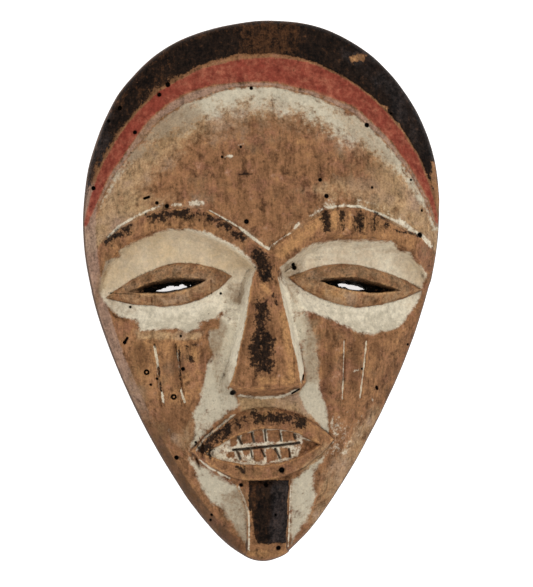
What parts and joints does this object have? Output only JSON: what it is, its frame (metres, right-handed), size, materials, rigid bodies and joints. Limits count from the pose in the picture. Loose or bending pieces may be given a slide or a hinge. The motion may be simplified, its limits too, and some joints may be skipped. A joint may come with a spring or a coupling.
{
  "type": "miniature mask",
  "caption": "Small carved wooden face mask with slit eyes, wedge nose, bared teeth and a chin block, hollow behind, lying face up on its rim.",
  "frame": {"origin": "in the plane of the flat back rim, under the middle of the outline", "axes": "+X to the viewer's right, +Y from the chin to the crown, +Z out of the face; the mask lies on its rim"},
  "size_m": [0.126, 0.19, 0.046],
  "materials": {
    "carved_wood": "worn orange-brown wood with cream, red and black pigment"
  },
  "bodies": {
    "root": {"mask": "carved_wood"}
  },
  "joints": []
}
